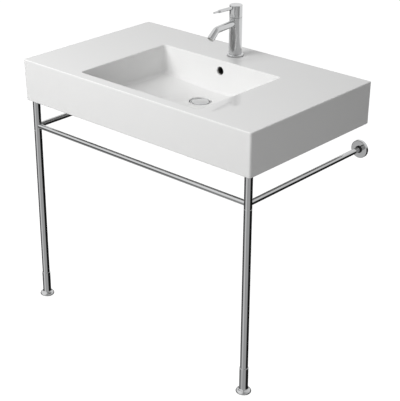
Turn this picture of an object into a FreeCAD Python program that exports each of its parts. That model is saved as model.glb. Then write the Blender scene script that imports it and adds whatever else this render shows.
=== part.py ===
import FreeCAD, Part
import math
import os
from FreeCAD import Rotation, Vector

os.makedirs("parts", exist_ok=True)

# Frame: +Z up, -Y towards the user, +Y towards the wall, X across.
# Origin: on the floor, under the middle of the ceramic block. Millimetres.
# A cutting body runs a millimetre or more past what it cuts.

# ---------------------------------------------------------------- driving dimensions
# Ceramic block
basin_width = 850.0
basin_depth = 520.0
rim_height = 776.0
apron_height = 124.0
apron_taper = 2.0
block_corner_radius = 7.0
block_edge_radius = 3.0
back_grinding = 1.0
apron_wall = 20.0
deck_thickness = 18.0

# Bowl
bowl_width = 440.0
front_ledge = 35.0
tap_ledge = 143.0
bowl_draft = 3.0
bowl_corner_radius = 11.0
bowl_rim_radius = 2.5
bowl_cove_radius = 10.0
bowl_shell = 13.0
floor_depth = 104.0
floor_fall = 0.09

# Holes in the ceramic
drain_from_wall = 229.0
drain_hole_radius = 23.0
drain_seat_radius = 31.5
drain_dish_radius = 33.0
drain_seat_depth = 109.0
drain_brim_radius = 1.5
overflow_radius = 12.0
overflow_drop = 32.0
overflow_mouth_radius = 1.5
overflow_duct_width = 32.0
overflow_duct_gap = 12.0
overflow_duct_wall = 8.0
overflow_duct_height = 8.0
overflow_duct_floor = 6.0
tap_hole_radius = 17.5
tap_from_wall = 78.0
wall_bolt_spacing = 280.0
wall_bolt_radius = 6.5
wall_bolt_drop = 60.0
wall_boss_radius = 22.0
wall_boss_height = 8.0
peg_hole_radius = 7.5
peg_hole_depth = 30.0
corner_pad_size = 50.0

# Tap
tap_radius = 19.0
tap_height = 151.0
tap_seam_height = 116.0
tap_bore_radius = 14.5
tap_bore_floor = 66.0
tap_stub_radius = 16.5
tap_stub_length = 6.0
tap_gasket_thickness = 1.2
tap_gasket_inset = 0.5
tap_ring_radius = 24.5
tap_ring_height = 5.0
tap_ring_round_drop = 2.5
tap_ring_round_inset = 2.6
tap_ring_bulge_drop = 0.7
tap_ring_bulge_inset = 0.8
handle_pivot_rise = 10.0
ball_gap = 0.4
cap_bore_radius = 14.0
cap_top_thickness = 15.0
cap_edge_radius = 1.2
lever_radius = 4.9
lever_shoulder_reach = 73.0
lever_neck_radius = 3.2
lever_neck_reach = 80.0
lever_tip_radius = 2.3
lever_height = 144.5
lever_reach = 98.0
lever_rise_angle = 1.5
lever_thread_radius = 3.0
lever_thread_depth = 9.0
lever_collar_radius = 5.2
lever_collar_length = 3.5
spout_radius = 10.0
spout_bore_radius = 7.0
spout_height = 99.0
spout_rise_angle = -3.5
spout_reach = 85.0
spout_drop_angle = 41.0
spout_bend_radius = 17.0
nozzle_length = 33.0
nozzle_end_radius = 10.8
aerator_radius = 8.8
aerator_bore_radius = 6.8
aerator_depth = 9.0
aerator_recess = 1.0
aerator_chamfer = 0.6
aerator_plate_depth = 3.0
aerator_plate_thickness = 1.5
aerator_hole_radius = 0.7
aerator_hole_spacing = 2.6

# Cartridge inside the tap
cartridge_height = 36.0
cartridge_waist_radius = 12.4
cartridge_flange_radius = 14.3
cartridge_flange_height = 5.0
cartridge_nut_height = 3.5
cartridge_nut_bore = 9.5
sleeve_radius = 7.0
sleeve_depth_in_housing = 30.0
sleeve_above_pivot = 3.5
sleeve_slot_width = 7.4
sleeve_slot_depth = 9.0
sleeve_end_gap = 0.3
stem_width = 7.0
stem_below_pivot = 5.5
stem_above_pivot = 16.0
pivot_pin_radius = 1.5
pivot_pin_inset = 0.5
running_gap = 0.06

# Tap fixing under the deck
stud_radius = 4.0
stud_offset = 7.0
stud_length = 70.0
stud_in_body = 14.0
inlet_radius = 4.5
inlet_bore_radius = 3.0
inlet_offset_x = 7.5
inlet_offset_y = -6.0
inlet_drop = 42.0
horseshoe_radius = 23.0
horseshoe_thickness = 3.0
tap_nut_flats = 13.0
tap_nut_height = 7.0

# Waste
waste_flange_radius = 30.5
waste_flange_height = 4.5
waste_flange_lip = 1.2
waste_seat_radius = 26.0
waste_seat_depth = 3.0
waste_seal_thickness = 1.5
waste_seal_inset = 1.0
waste_barrel_radius = 20.5
waste_bore_radius = 17.0
waste_length = 85.5
waste_relief_drop = 38.0
waste_relief_height = 3.0
waste_relief_depth = 1.2
waste_window_width = 16.0
waste_web_height = 4.0
waste_web_drop = 39.5
waste_web_hub_radius = 8.0
waste_web_arm_width = 4.0
lower_seal_radius = 33.0
lower_seal_height = 4.0
backnut_flats = 62.0
backnut_height = 9.0
stopper_radius = 24.5
stopper_edge = 2.0
stopper_edge_round = 0.7
stopper_dome = 2.5
stopper_seal_radius = 22.5
stopper_seal_width = 5.0
stopper_seal_height = 1.2
plunger_radius = 4.0
plunger_length = 44.0
mechanism_radius = 7.0
mechanism_height = 16.0

# Stand
leg_inset = 22.0
leg_radius = 11.0
leg_wall = 1.5
leg_pad_thickness = 2.0
leg_peg_radius = 5.0
leg_peg_in_leg = 16.0
leg_peg_in_basin = 22.0
rail_drop = 205.0
rail_radius = 7.5
rail_wall = 1.5
rail_end_gap = 8.0
seam_below_rail = 14.0
coupling_depth = 22.0
coupling_nose = 5.0
seam_chamfer = 0.5
plug_length = 16.0
rail_stud_radius = 3.0
rail_stud_end_gap = 3.5
rail_stud_short_of_plug = 3.0

# Adjustable foot
foot_sleeve_top = 80.0
foot_sleeve_radius = 12.4
foot_sleeve_floor = 14.0
foot_sleeve_chamfer = 0.5
foot_flange_radius = 21.5
foot_flange_height = 12.5
foot_rim_height = 5.5
foot_under_rim_inset = 0.7
foot_under_rim_rise = 1.6
foot_dome_inset = 2.0
foot_dome_height = 9.3
foot_dome_width = 6.0
foot_dome_end_drop = 0.4
foot_neck_rise = 4.0
foot_neck_hollow_rise = 0.9
foot_neck_hollow_width = 1.0
foot_base_radius = 18.5
foot_base_lift = 1.5
foot_pad_radius = 16.5
foot_pad_height = 4.0
foot_stud_radius = 5.0
foot_stud_top = 112.0
foot_nut_height = 22.0
leg_tube_bottom = 42.0
sleeve_bore_gap = 0.08

# Wall end of the side rails
wall_plate_radius = 21.0
wall_plate_height = 4.0
wall_spigot_length = 24.0
wall_screw_radius = 2.5
wall_screw_spacing = 27.0
cover_radius = 26.0
cover_height = 9.0
cover_skin = 1.5
cover_edge_radius = 2.0
collar_radius = 10.5
collar_height = 3.0
collar_chamfer = 1.0

# ---------------------------------------------------------------- derived places
wall_y = basin_depth / 2
front_y = -basin_depth / 2
apron_z = rim_height - apron_height
deck_under_z = rim_height - deck_thickness
bowl_front_y = front_y + front_ledge
bowl_back_y = wall_y - tap_ledge
drain_y = wall_y - drain_from_wall
drain_seat_z = rim_height - drain_seat_depth
overflow_z = rim_height - overflow_drop
duct_z = apron_z + overflow_duct_floor
tap_y = wall_y - tap_from_wall
leg_x = basin_width / 2 - leg_inset
leg_y = front_y + leg_inset
rail_z = rim_height - rail_drop
leg_top_z = apron_z - leg_pad_thickness
leg_seam_z = rail_z - seam_below_rail
tap_seam_z = rim_height + tap_seam_height
tap_base_z = rim_height + tap_gasket_thickness
pivot_z = tap_seam_z + handle_pivot_rise
ball_radius = math.hypot(tap_radius, handle_pivot_rise)
cup_radius = ball_radius + ball_gap
bore_floor_z = rim_height + tap_bore_floor
cartridge_top_z = bore_floor_z + cartridge_height
lever_z = rim_height + lever_height
waste_top_z = drain_seat_z + waste_seal_thickness
waste_rim_z = waste_top_z + waste_flange_height
waste_seat_z = waste_rim_z - waste_seat_depth
stopper_z = waste_seat_z + stopper_seal_height
web_z = waste_rim_z - waste_web_drop

UP = Vector(0, 0, 1)
SIDES = (("left", -1), ("right", 1))
LEVEL_TOLERANCE = 0.001


# ---------------------------------------------------------------- helpers
def save(shape, node):
    """Write one piece, checked to be sound, to its own file."""
    if not shape.isValid():
        raise ValueError(node + " is not a sound solid")
    tidy = shape.removeSplitter()
    if tidy.isValid():
        shape = tidy
    print(f"{node:24s} solids {len(shape.Solids)}  volume {shape.Volume / 1000:10.2f} cm3")
    shape.exportStep("parts/" + node + ".step")


def cylinder(radius, height, x, y, z, direction=UP):
    return Part.makeCylinder(radius, height, Vector(x, y, z), direction)


def ring(outer, inner, height, x, y, z):
    return cylinder(outer, height, x, y, z).cut(cylinder(inner, height + 2, x, y, z - 1))


def block(x0, x1, y0, y1, z0, z1):
    return Part.makeBox(x1 - x0, y1 - y0, z1 - z0, Vector(x0, y0, z0))


def rounded_rectangle(half_x, y0, y1, z, radius):
    """Closed wire with its four corners rounded, in a level plane."""
    edges = []
    centres = (
        (half_x - radius, y0 + radius, -90),
        (half_x - radius, y1 - radius, 0),
        (-half_x + radius, y1 - radius, 90),
        (-half_x + radius, y0 + radius, 180),
    )
    arcs = []
    for cx, cy, start in centres:
        points = []
        for turn in (start, start + 45, start + 90):
            angle = math.radians(turn)
            points.append(Vector(cx + radius * math.cos(angle), cy + radius * math.sin(angle), z))
        arcs.append(points)
    for index, points in enumerate(arcs):
        following = arcs[(index + 1) % len(arcs)]
        edges.append(Part.Arc(*points).toShape())
        edges.append(Part.makeLine(points[2], following[0]))
    return Part.Wire(edges)


def tapered_prism(half_x, y0, y1, z_top, z_bottom, draft, back_draft, radius):
    """Prism whose sides lean in by draft (mm) from top to bottom, and its back by back_draft."""
    top = rounded_rectangle(half_x, y0, y1, z_top, radius)
    bottom = rounded_rectangle(half_x - draft, y0 + draft, y1 - back_draft, z_bottom, radius)
    return Part.makeLoft([bottom, top], True, True)


def turned(start, *steps):
    """Solid of revolution about Z from an outline of (radius, height) points.

    A step is a point for a straight line, or a pair (middle, end) for an arc.
    """
    here = Vector(start[0], 0, start[1])
    first = here
    edges = []
    for step in steps:
        if isinstance(step[0], tuple):
            middle = Vector(step[0][0], 0, step[0][1])
            there = Vector(step[1][0], 0, step[1][1])
            edges.append(Part.Arc(here, middle, there).toShape())
        else:
            there = Vector(step[0], 0, step[1])
            edges.append(Part.makeLine(here, there))
        here = there
    edges.append(Part.makeLine(here, first))
    return Part.Face(Part.Wire(edges)).revolve(Vector(0, 0, 0), UP, 360)


def round_end(radius, height):
    """Step of an outline that closes a rod of one radius with a half ball whose top is at height."""
    middle = radius * math.sqrt(0.5)
    return (middle, height - radius + middle), (0, height)


def placed(shape, x, y, z, direction=UP):
    """Move a piece modelled about Z to a point, with its Z along a direction."""
    copy = shape.copy()
    copy.Placement = FreeCAD.Placement(Vector(x, y, z), Rotation(UP, direction))
    return copy


def hexagon(flats, height, x, y, z):
    radius = flats / math.sqrt(3)
    points = []
    for corner in range(7):
        angle = math.radians(60 * corner)
        points.append(Vector(x + radius * math.cos(angle), y + radius * math.sin(angle), z))
    return Part.Face(Part.makePolygon(points)).extrude(Vector(0, 0, height))


def edges_at_height(shape, z):
    """Edges that lie wholly in the level plane at z."""
    found = []
    for edge in shape.Edges:
        box = edge.BoundBox
        if abs(box.ZMin - z) < LEVEL_TOLERANCE and abs(box.ZMax - z) < LEVEL_TOLERANCE:
            found.append(edge)
    return found


def circles_of(shape, radius, z=None):
    """Full circular edges of one radius, at one height if a height is given."""
    found = []
    for edge in shape.Edges:
        if not isinstance(edge.Curve, Part.Circle):
            continue
        if abs(edge.Curve.Radius - radius) > LEVEL_TOLERANCE:
            continue
        if z is None or abs(edge.Curve.Center.z - z) < LEVEL_TOLERANCE:
            found.append(edge)
    return found


# ---------------------------------------------------------------- ceramic basin
def bowl_form(grow):
    """The bowl as a solid, grown outwards by grow: leaning walls over a coned floor."""
    reach = floor_depth + 10 + grow
    lean = reach * math.tan(math.radians(bowl_draft))
    walls = tapered_prism(
        bowl_width / 2 + grow, bowl_front_y - grow, bowl_back_y + grow,
        rim_height, rim_height - reach, lean, lean, bowl_corner_radius + grow / 2)
    wide = basin_width / 2
    low = rim_height - floor_depth - grow
    floor = turned((0, low), (wide, low + wide * floor_fall), (wide, rim_height + 1), (0, rim_height + 1))
    return walls.common(placed(floor, 0, drain_y, 0))


def bowl_cavity():
    """The space inside the bowl, with a cove where the walls meet the floor."""
    space = bowl_form(0)
    creases = []
    for edge in space.Edges:
        box = edge.BoundBox
        if box.ZMax < rim_height - floor_depth / 2:
            creases.append(edge)
    space = space.makeFillet(bowl_cove_radius, creases)
    dish_top_z = rim_height - floor_depth + drain_dish_radius * floor_fall
    slope = (drain_dish_radius - drain_seat_radius) / (dish_top_z - drain_seat_z)
    rise = dish_top_z - drain_seat_z + 4
    dish = Part.makeCone(
        drain_seat_radius, drain_seat_radius + slope * rise, rise, Vector(0, drain_y, drain_seat_z))
    space = space.fuse(dish)
    brim = []
    for edge in space.Edges:
        if isinstance(edge.Curve, Part.Circle):
            if drain_seat_radius + 1 < edge.Curve.Radius < drain_dish_radius + 5:
                brim.append(edge)
    return space.makeFillet(drain_brim_radius, brim)


def overflow_duct(wall):
    """Duct from the overflow hole down behind the bowl and forward to the drain hole.

    With no wall it is the water's way, and with one it is the ceramic around that way.
    """
    half = overflow_duct_width / 2 + wall
    near_y = bowl_back_y + bowl_shell
    far_y = near_y + overflow_duct_gap
    low_z = duct_z - min(wall, overflow_duct_floor)
    down = block(-half, half, near_y - wall, far_y + wall, low_z, overflow_z + overflow_radius + wall)
    forward = block(-half, half, drain_y, far_y, low_z, duct_z + overflow_duct_height + wall)
    return down.fuse(forward)


def make_basin():
    outer = tapered_prism(
        basin_width / 2, front_y, wall_y + back_grinding, rim_height, apron_z, apron_taper, 0,
        block_corner_radius)
    outer = outer.common(block(
        -basin_width, basin_width, front_y - 1, wall_y, apron_z - 1, rim_height + 1))
    top_and_bottom = edges_at_height(outer, rim_height) + edges_at_height(outer, apron_z)
    outer = outer.makeFillet(block_edge_radius, top_and_bottom)
    hollow = tapered_prism(
        basin_width / 2 - apron_wall, front_y + apron_wall, wall_y - apron_wall,
        deck_under_z, apron_z - 1, 0, 0, block_corner_radius)
    kept = [bowl_form(bowl_shell)]
    kept.append(overflow_duct(overflow_duct_wall))
    boss_height = drain_seat_z - apron_z
    kept.append(cylinder(drain_dish_radius, boss_height, 0, drain_y, apron_z))
    for side in (-1, 1):
        pad_x = sorted((side * basin_width / 2, side * (basin_width / 2 - corner_pad_size)))
        kept.append(block(*pad_x, front_y, front_y + corner_pad_size, apron_z, deck_under_z))
        boss = cylinder(
            wall_boss_radius, apron_wall + wall_boss_height, side * wall_bolt_spacing / 2,
            wall_y - 1, rim_height - wall_bolt_drop, Vector(0, -1, 0))
        kept.append(boss)
    for piece in kept:
        hollow = hollow.cut(piece)
    body = outer.cut(hollow).cut(bowl_cavity())
    body = body.cut(cylinder(drain_hole_radius, apron_height, 0, drain_y, apron_z - 5))
    body = body.cut(cylinder(tap_hole_radius, deck_thickness + 2, 0, tap_y, deck_under_z - 1))
    body = body.cut(overflow_duct(0))
    body = body.cut(cylinder(
        overflow_radius, 2 * bowl_shell + 2, 0, bowl_back_y - bowl_shell, overflow_z, Vector(0, 1, 0)))
    for side in (-1, 1):
        body = body.cut(cylinder(
            wall_bolt_radius, apron_wall + wall_boss_height + 4, side * wall_bolt_spacing / 2,
            wall_y + 2, rim_height - wall_bolt_drop, Vector(0, -1, 0)))
        body = body.cut(cylinder(peg_hole_radius, peg_hole_depth, side * leg_x, leg_y, apron_z))
    rim_edges = []
    for edge in edges_at_height(body, rim_height):
        box = edge.BoundBox
        inside = box.XMax < bowl_width / 2 + 1 and box.XMin > -bowl_width / 2 - 1
        if inside and box.YMax < bowl_back_y + 1 and box.YMin > bowl_front_y - 1:
            rim_edges.append(edge)
    body = body.makeFillet(bowl_rim_radius, rim_edges)
    mouth = []
    for edge in body.Edges:
        box = edge.BoundBox
        at_wall = bowl_back_y - bowl_shell < box.YMin and box.YMax < bowl_back_y + 1
        round_hole = abs(box.XLength / 2 - overflow_radius) < overflow_mouth_radius
        if at_wall and round_hole and abs(box.ZMin - overflow_z + overflow_radius) < overflow_mouth_radius:
            mouth.append(edge)
    return body.makeFillet(overflow_mouth_radius, mouth)


# ---------------------------------------------------------------- tap
def spout_points():
    """Start, elbow and outlet of the spout's centre line."""
    rise = math.radians(spout_rise_angle)
    drop = math.radians(spout_drop_angle)
    start = Vector(0, tap_y, rim_height + spout_height)
    elbow = start + Vector(0, -spout_reach, spout_reach * math.tan(rise))
    outlet = elbow + Vector(0, -math.cos(drop), -math.sin(drop)) * nozzle_length
    return start, elbow, outlet


def spout_bend():
    """Where the bend starts, its middle and where it ends."""
    start, elbow, outlet = spout_points()
    back = (start - elbow).normalize()
    ahead = (outlet - elbow).normalize()
    half_turn = math.radians(spout_rise_angle + spout_drop_angle) / 2
    tangent = spout_bend_radius * math.tan(half_turn)
    bisector = (back + ahead).normalize()
    centre = elbow + bisector * (spout_bend_radius / math.cos(half_turn))
    middle = centre - bisector * spout_bend_radius
    return elbow + back * tangent, middle, elbow + ahead * tangent


def spout_solid(radius, end_radius, overrun):
    """Round bar along the spout's centre line, widening along the nozzle."""
    start, elbow, outlet = spout_points()
    bend_start, bend_middle, bend_end = spout_bend()
    along = (bend_start - start).normalize()
    ahead = (outlet - bend_end).normalize()
    straight = Part.makeCylinder(radius, (bend_start - start).Length, start, along)
    profile = Part.Wire(Part.makeCircle(radius, bend_start, along))
    bend = Part.Wire(Part.Arc(bend_start, bend_middle, bend_end).toShape())
    curve = bend.makePipeShell([profile], True, False)
    length = (outlet - bend_end).Length + overrun
    if end_radius > radius:
        nozzle = Part.makeCone(radius, end_radius, length, bend_end, ahead)
    else:
        nozzle = Part.makeCylinder(radius, length, bend_end, ahead)
    return straight.fuse(curve).fuse(nozzle)


def tap_cylinder(radius, z0, z1):
    return cylinder(radius, z1 - z0, 0, tap_y, z0)


def make_tap_body():
    """Turned barrel whose upper end is cupped for the handle's ball."""
    body = tap_cylinder(tap_radius, tap_base_z, tap_seam_z)
    body = body.fuse(tap_cylinder(tap_stub_radius, rim_height - tap_stub_length, tap_base_z))
    body = body.cut(Part.makeSphere(cup_radius, Vector(0, tap_y, pivot_z)))
    body = body.cut(tap_cylinder(tap_bore_radius, bore_floor_z, tap_seam_z + 1))
    low = rim_height - tap_stub_length - 1
    for side in (-1, 1):
        body = body.cut(cylinder(
            inlet_radius, bore_floor_z - low + 1, side * inlet_offset_x, tap_y + inlet_offset_y, low))
    body = body.cut(cylinder(stud_radius, stud_in_body + 1, 0, tap_y + stud_offset, low))
    start, elbow = spout_points()[:2]
    port = Part.makeCylinder(spout_bore_radius, tap_radius * 2, start, (elbow - start).normalize())
    return body.cut(port)


def make_spout():
    """Bent tube that widens to its nozzle and is shaped to the barrel where it joins."""
    spout = spout_solid(spout_radius, nozzle_end_radius, 0)
    spout = spout.cut(spout_solid(spout_bore_radius, spout_bore_radius, 1))
    elbow, outlet = spout_points()[1:]
    back = (elbow - outlet).normalize()
    seat = Part.makeCylinder(aerator_radius, aerator_depth + 1, outlet - back, back)
    spout = spout.cut(seat)
    return spout.cut(tap_cylinder(tap_radius, tap_base_z, tap_seam_z))


def make_aerator():
    """Threaded ring with a perforated strainer plate."""
    elbow, outlet = spout_points()[1:]
    back = (elbow - outlet).normalize()
    bore = aerator_bore_radius
    face = aerator_recess
    shell = turned(
        (bore, face), (aerator_radius - aerator_chamfer, face), (aerator_radius, face + aerator_chamfer),
        (aerator_radius, aerator_depth), (bore, aerator_depth))
    plate = cylinder(bore, aerator_plate_thickness, 0, 0, aerator_plate_depth)
    for row in range(3):
        count = max(1, 6 * row)
        for index in range(count):
            angle = 2 * math.pi * index / count
            x = row * aerator_hole_spacing * math.cos(angle)
            y = row * aerator_hole_spacing * math.sin(angle)
            plate = plate.cut(cylinder(aerator_hole_radius, aerator_depth, x, y, 0))
    return placed(shell.fuse(plate), outlet.x, outlet.y, outlet.z, back)


def make_base_ring():
    high = tap_ring_height
    wide = tap_ring_radius
    bead = turned(
        (tap_radius, 0), (wide, 0), (wide, high - tap_ring_round_drop),
        ((wide - tap_ring_bulge_inset, high - tap_ring_bulge_drop), (wide - tap_ring_round_inset, high)),
        (tap_radius, high))
    return placed(bead, 0, tap_y, tap_base_z)


def make_cartridge_housing():
    """Bobbin-shaped housing, so water passes round its waist to the spout."""
    top = cartridge_height
    body = turned(
        (0, 0), (cartridge_flange_radius, 0), (cartridge_flange_radius, cartridge_flange_height),
        (cartridge_waist_radius, cartridge_flange_height),
        (cartridge_waist_radius, top - cartridge_flange_height),
        (cartridge_flange_radius, top - cartridge_flange_height),
        (cartridge_flange_radius, top), (0, top))
    body = placed(body, 0, tap_y, bore_floor_z)
    return body.cut(tap_cylinder(
        sleeve_radius + running_gap, cartridge_top_z - sleeve_depth_in_housing, cartridge_top_z + 1))


def make_turn_sleeve():
    """Spindle that turns for temperature, forked at its top for the lever stem."""
    low = cartridge_top_z - sleeve_depth_in_housing + sleeve_end_gap
    sleeve = tap_cylinder(sleeve_radius, low, pivot_z + sleeve_above_pivot)
    half = sleeve_slot_width / 2
    sleeve = sleeve.cut(block(
        -half, half, tap_y - 10, tap_y + 10, pivot_z - sleeve_slot_depth, pivot_z + 10))
    return sleeve.cut(make_pivot_pin())


def make_pivot_pin():
    half = sleeve_radius - pivot_pin_inset
    return cylinder(pivot_pin_radius, 2 * half, -half, tap_y, pivot_z, Vector(1, 0, 0))


def make_stem():
    """Square stem on the pivot pin, which the handle is pressed on."""
    half = stem_width / 2
    stem = block(
        -half, half, tap_y - half, tap_y + half, pivot_z - stem_below_pivot, pivot_z + stem_above_pivot)
    return stem.cut(cylinder(
        pivot_pin_radius + running_gap, 20, -10, tap_y, pivot_z, Vector(1, 0, 0)))


def lever_direction():
    angle = math.radians(lever_rise_angle)
    return Vector(0, -math.cos(angle), math.sin(angle))


def lever_start():
    """Point on the tap's axis that the lever's centre line comes from."""
    return Vector(0, tap_y, lever_z - tap_radius * math.tan(math.radians(lever_rise_angle)))


def lever_rod(radius, near, far):
    start = lever_start() + lever_direction() * near
    return Part.makeCylinder(radius, far - near, start, lever_direction())


def make_handle_cap():
    """Handle drum: a ball below, which nests in the barrel's cup, and a drum above."""
    drum = tap_cylinder(tap_radius, pivot_z, rim_height + tap_height)
    drum = drum.makeFillet(cap_edge_radius, circles_of(drum, tap_radius, rim_height + tap_height))
    ball = Part.makeSphere(ball_radius, Vector(0, tap_y, pivot_z))
    skirt = tap_cylinder(tap_radius, pivot_z - ball_radius - 1, pivot_z).common(ball)
    cap = drum.fuse(skirt)
    ceiling_z = rim_height + tap_height - cap_top_thickness
    cap = cap.cut(tap_cylinder(cap_bore_radius, pivot_z - ball_radius - 1, ceiling_z))
    half = stem_width / 2
    cap = cap.cut(block(
        -half, half, tap_y - half, tap_y + half, ceiling_z - 1, pivot_z + stem_above_pivot))
    return cap.cut(lever_rod(lever_thread_radius, tap_radius - lever_thread_depth, lever_reach))


def make_lever_collar():
    collar = lever_rod(lever_collar_radius, tap_radius - 2, tap_radius + lever_collar_length)
    collar = collar.cut(lever_rod(lever_thread_radius, 0, lever_reach))
    return collar.cut(tap_cylinder(tap_radius, pivot_z, rim_height + tap_height))


def make_lever_pin():
    """Rod on a threaded shank, drawn in at its neck and tapered to a rounded tip."""
    near = tap_radius - lever_thread_depth
    free = tap_radius + lever_collar_length
    length = lever_reach - near
    tip = lever_tip_radius
    rod = turned(
        (0, 0), (lever_thread_radius, 0), (lever_thread_radius, free - near),
        (lever_radius, free - near), (lever_radius, lever_shoulder_reach - near),
        (lever_neck_radius, lever_neck_reach - near), (tip, length - tip),
        round_end(tip, length))
    start = lever_start() + lever_direction() * near
    return placed(rod, start.x, start.y, start.z, lever_direction())


def make_tap_fixing():
    """Pieces that clamp the tap to the deck, by node name."""
    under = deck_under_z
    rubber_z = under - horseshoe_thickness
    plate_z = rubber_z - horseshoe_thickness
    stud_top = rim_height - tap_stub_length + stud_in_body
    stud_y = tap_y + stud_offset
    opening = block(
        -inlet_offset_x - inlet_radius - 1, inlet_offset_x + inlet_radius + 1,
        tap_y - horseshoe_radius - 1, tap_y + 1, plate_z - 1, under + 1)
    stud_hole = cylinder(stud_radius, 20, 0, stud_y, plate_z - 5)
    pieces = {}
    pieces["tap_fixing_stud"] = cylinder(stud_radius, stud_length, 0, stud_y, stud_top - stud_length)
    for node, z in (("horseshoe_rubber", rubber_z), ("horseshoe_plate", plate_z)):
        disc = cylinder(horseshoe_radius, horseshoe_thickness, 0, tap_y, z)
        pieces[node] = disc.cut(opening).cut(stud_hole)
    nut = hexagon(tap_nut_flats, tap_nut_height, 0, stud_y, plate_z - tap_nut_height)
    pieces["tap_fixing_nut"] = nut.cut(cylinder(stud_radius, 30, 0, stud_y, plate_z - 20))
    for node, side in (("inlet_tail_hot", -1), ("inlet_tail_cold", 1)):
        top_z = rim_height + inlet_radius
        tail = ring(
            inlet_radius, inlet_bore_radius, top_z - rim_height + inlet_drop,
            side * inlet_offset_x, tap_y + inlet_offset_y, rim_height - inlet_drop)
        pieces[node] = tail
    return pieces


# ---------------------------------------------------------------- waste
def drain_cylinder(radius, z0, z1):
    return cylinder(radius, z1 - z0, 0, drain_y, z0)


def make_waste_body():
    """Flanged barrel with overflow windows, a web for the plug mechanism and a thread relief."""
    high = waste_flange_height
    rim = waste_flange_radius
    lip = waste_flange_lip
    corner = lip * (1 - math.sqrt(0.5))
    seat = high - waste_seat_depth
    flange = turned(
        (waste_bore_radius, 0), (rim - lip, 0), (rim, lip), (rim, high - lip),
        ((rim - corner, high - corner), (rim - lip, high)), (rim - 2 * lip, high),
        (waste_seat_radius, seat), (waste_bore_radius, seat))
    bottom_z = waste_rim_z - waste_length
    body = placed(flange, 0, drain_y, waste_top_z)
    barrel = drain_cylinder(waste_barrel_radius, bottom_z, waste_top_z)
    body = body.fuse(barrel.cut(drain_cylinder(waste_bore_radius, bottom_z - 1, waste_top_z + 1)))
    hub = drain_cylinder(waste_web_hub_radius, web_z, web_z + waste_web_height)
    half = waste_web_arm_width / 2
    for turn in (0, 90):
        arm = block(
            -waste_bore_radius - 1, waste_bore_radius + 1, -half, half, 0, waste_web_height)
        arm.rotate(Vector(0, 0, 0), UP, turn + 45)
        arm.translate(Vector(0, drain_y, web_z))
        hub = hub.fuse(arm)
    body = body.fuse(hub)
    body = body.cut(drain_cylinder(plunger_radius + running_gap, web_z - 1, web_z + 10))
    body = body.cut(ring(
        waste_barrel_radius + 1, waste_barrel_radius - waste_relief_depth, waste_relief_height,
        0, drain_y, waste_rim_z - waste_relief_drop))
    window = block(
        -waste_window_width / 2, waste_window_width / 2, drain_y - 30, drain_y + 30,
        duct_z, duct_z + overflow_duct_height)
    return body.cut(window)


def make_waste_pieces():
    """Seals, nut and plug of the waste, by node name."""
    pieces = {}
    pieces["waste_top_seal"] = ring(
        waste_flange_radius - waste_seal_inset, waste_barrel_radius, waste_seal_thickness, 0, drain_y,
        drain_seat_z)
    pieces["waste_lower_seal"] = ring(
        lower_seal_radius, waste_barrel_radius, lower_seal_height, 0, drain_y,
        apron_z - lower_seal_height)
    nut_z = apron_z - lower_seal_height - backnut_height
    nut = hexagon(backnut_flats, backnut_height, 0, drain_y, nut_z)
    pieces["waste_backnut"] = nut.cut(drain_cylinder(waste_barrel_radius, nut_z - 1, apron_z))
    mechanism_z = web_z + waste_web_height
    mechanism = drain_cylinder(mechanism_radius, mechanism_z, mechanism_z + mechanism_height)
    pieces["plug_mechanism"] = mechanism.cut(
        drain_cylinder(plunger_radius + running_gap, mechanism_z - 1, mechanism_z + mechanism_height + 1))
    pieces["plug_plunger"] = drain_cylinder(plunger_radius, stopper_z - plunger_length, stopper_z)
    rim = stopper_radius
    chord = rim - stopper_edge_round / 2
    curve = (chord ** 2 + stopper_dome ** 2) / (2 * stopper_dome)
    half_rise = stopper_dome - curve + math.sqrt(curve ** 2 - chord ** 2 / 4)
    dome = turned(
        (0, 0), (rim - stopper_edge_round, 0), ((rim, stopper_edge_round), (chord, stopper_edge)),
        ((chord / 2, stopper_edge + half_rise), (0, stopper_edge + stopper_dome)))
    pieces["plug_cap"] = placed(dome, 0, drain_y, stopper_z)
    pieces["plug_seal"] = ring(
        stopper_seal_radius, stopper_seal_radius - stopper_seal_width, stopper_seal_height, 0, drain_y,
        stopper_z - stopper_seal_height)
    return pieces


# ---------------------------------------------------------------- stand
def rail_spigot_hole(x, y, direction):
    """Shallow socket in the leg that a rail's end sits in."""
    start = Vector(x, y, rail_z) + direction * rail_end_gap
    return Part.makeCylinder(rail_radius, leg_radius, start, direction)


def stud_between(x, y, direction):
    """Threaded stud from the leg into the rail's end plug."""
    start = Vector(x, y, rail_z) + direction * rail_stud_end_gap
    length = rail_end_gap - rail_stud_end_gap + plug_length - rail_stud_short_of_plug
    return Part.makeCylinder(rail_stud_radius, length, start, direction)


def plug_at(x, y, direction):
    """Plug that closes a rail's end and takes the stud."""
    start = Vector(x, y, rail_z) + direction * rail_end_gap
    return Part.makeCylinder(rail_radius - rail_wall, plug_length, start, direction)


def rail_ends():
    """Leg axis and outward direction of the four rail ends at the legs."""
    ends = []
    for side in (-1, 1):
        ends.append((side * leg_x, leg_y, Vector(-side, 0, 0)))
        ends.append((side * leg_x, leg_y, Vector(0, 1, 0)))
    return ends


def make_leg_upper(side):
    x = side * leg_x
    chamfer = seam_chamfer
    height = leg_top_z - leg_seam_z
    post = turned(
        (0, 0), (leg_radius - chamfer, 0), (leg_radius, chamfer), (leg_radius, height), (0, height))
    post = placed(post, x, leg_y, leg_seam_z)
    post = post.cut(cylinder(leg_peg_radius, leg_peg_in_leg + 1, x, leg_y, leg_top_z - leg_peg_in_leg))
    post = post.cut(cylinder(leg_radius - leg_wall, coupling_nose, x, leg_y, leg_seam_z))
    for direction in (Vector(-side, 0, 0), Vector(0, 1, 0)):
        post = post.cut(rail_spigot_hole(x, leg_y, direction))
        post = post.cut(stud_between(x, leg_y, direction))
    return post


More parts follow.
